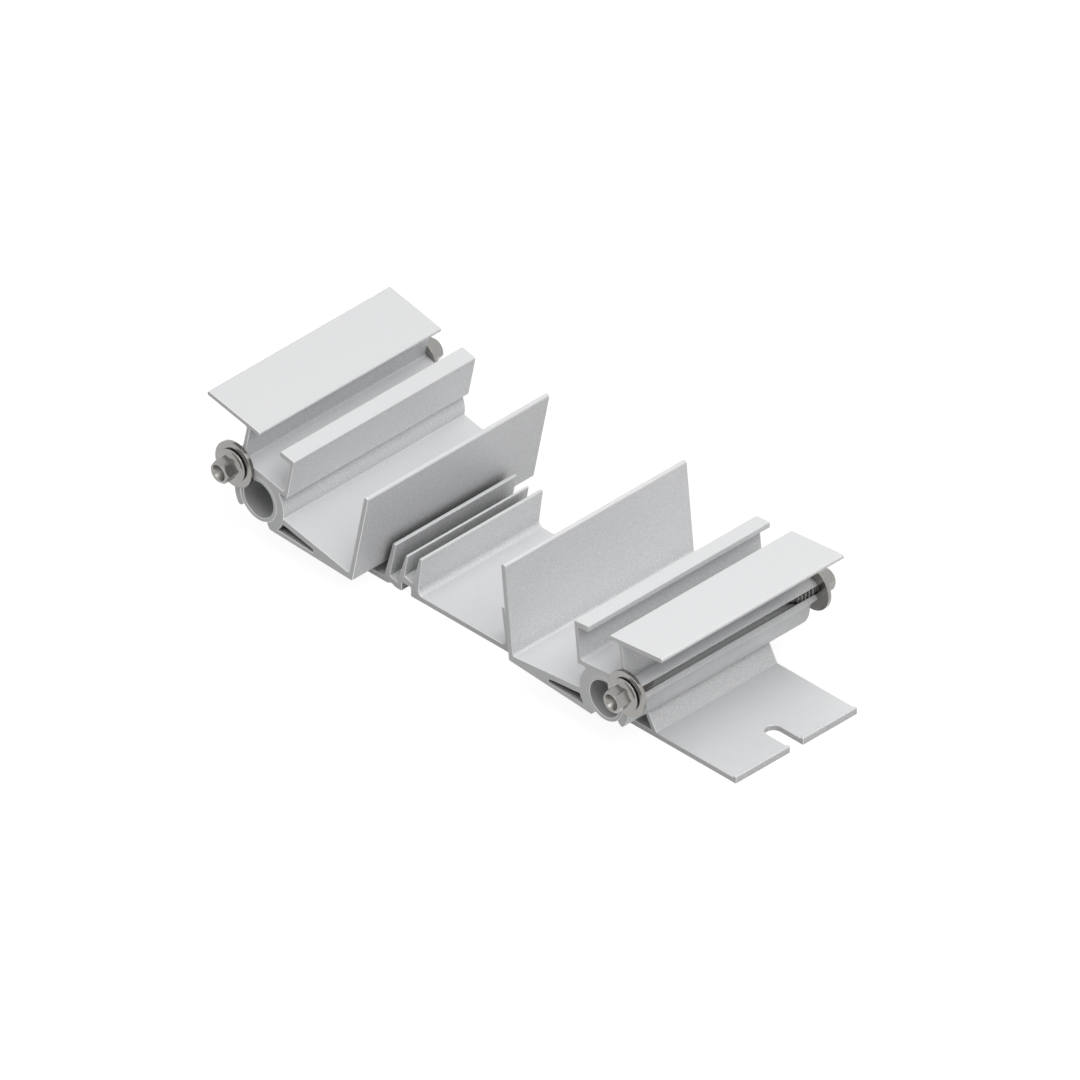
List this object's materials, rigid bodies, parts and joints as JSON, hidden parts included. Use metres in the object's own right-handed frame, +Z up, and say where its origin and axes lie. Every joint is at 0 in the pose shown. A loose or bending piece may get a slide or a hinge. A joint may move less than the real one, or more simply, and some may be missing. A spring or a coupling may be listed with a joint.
{
  "type": "flat roof solar mount support",
  "caption": "Aluminium base rail for a flat roof whose hinge tubes carry tilting module holders, each locked by flange screws and large washers.",
  "frame": {"origin": "on the underside, midway between the hinge tube axes and midway along the extrusions", "axes": "+X along the base rail towards the slotted flange, +Y along the extrusions and the hinge axes, +Z up from the roof"},
  "size_m": [0.4117, 0.1798, 0.0879],
  "materials": {
    "aluminium": "satin mill-finished extrusion with bright cut edges",
    "stainless": "satin stainless, turned faces"
  },
  "bodies": {
    "base": {"base_rail": "aluminium"},
    "left_holder_body": {"left_holder": "aluminium", "left_near_washer": "stainless", "left_near_screw": "stainless", "left_far_washer": "stainless", "left_far_screw": "stainless"},
    "right_holder_body": {"right_holder": "aluminium", "right_near_washer": "stainless", "right_near_screw": "stainless", "right_far_washer": "stainless", "right_far_screw": "stainless"}
  },
  "joints": [
    {"name": "left_tilt", "type": "hinge", "parent": "base", "child": "left_holder_body", "pos_m": [-0.1429, 0, 0.0315], "axis": [0, 1, 0], "range_deg": [-13.7, 3.3]},
    {"name": "right_tilt", "type": "hinge", "parent": "base", "child": "right_holder_body", "pos_m": [0.1429, 0, 0.0315], "axis": [0, -1, 0], "range_deg": [-7.7, 9.3]}
  ]
}
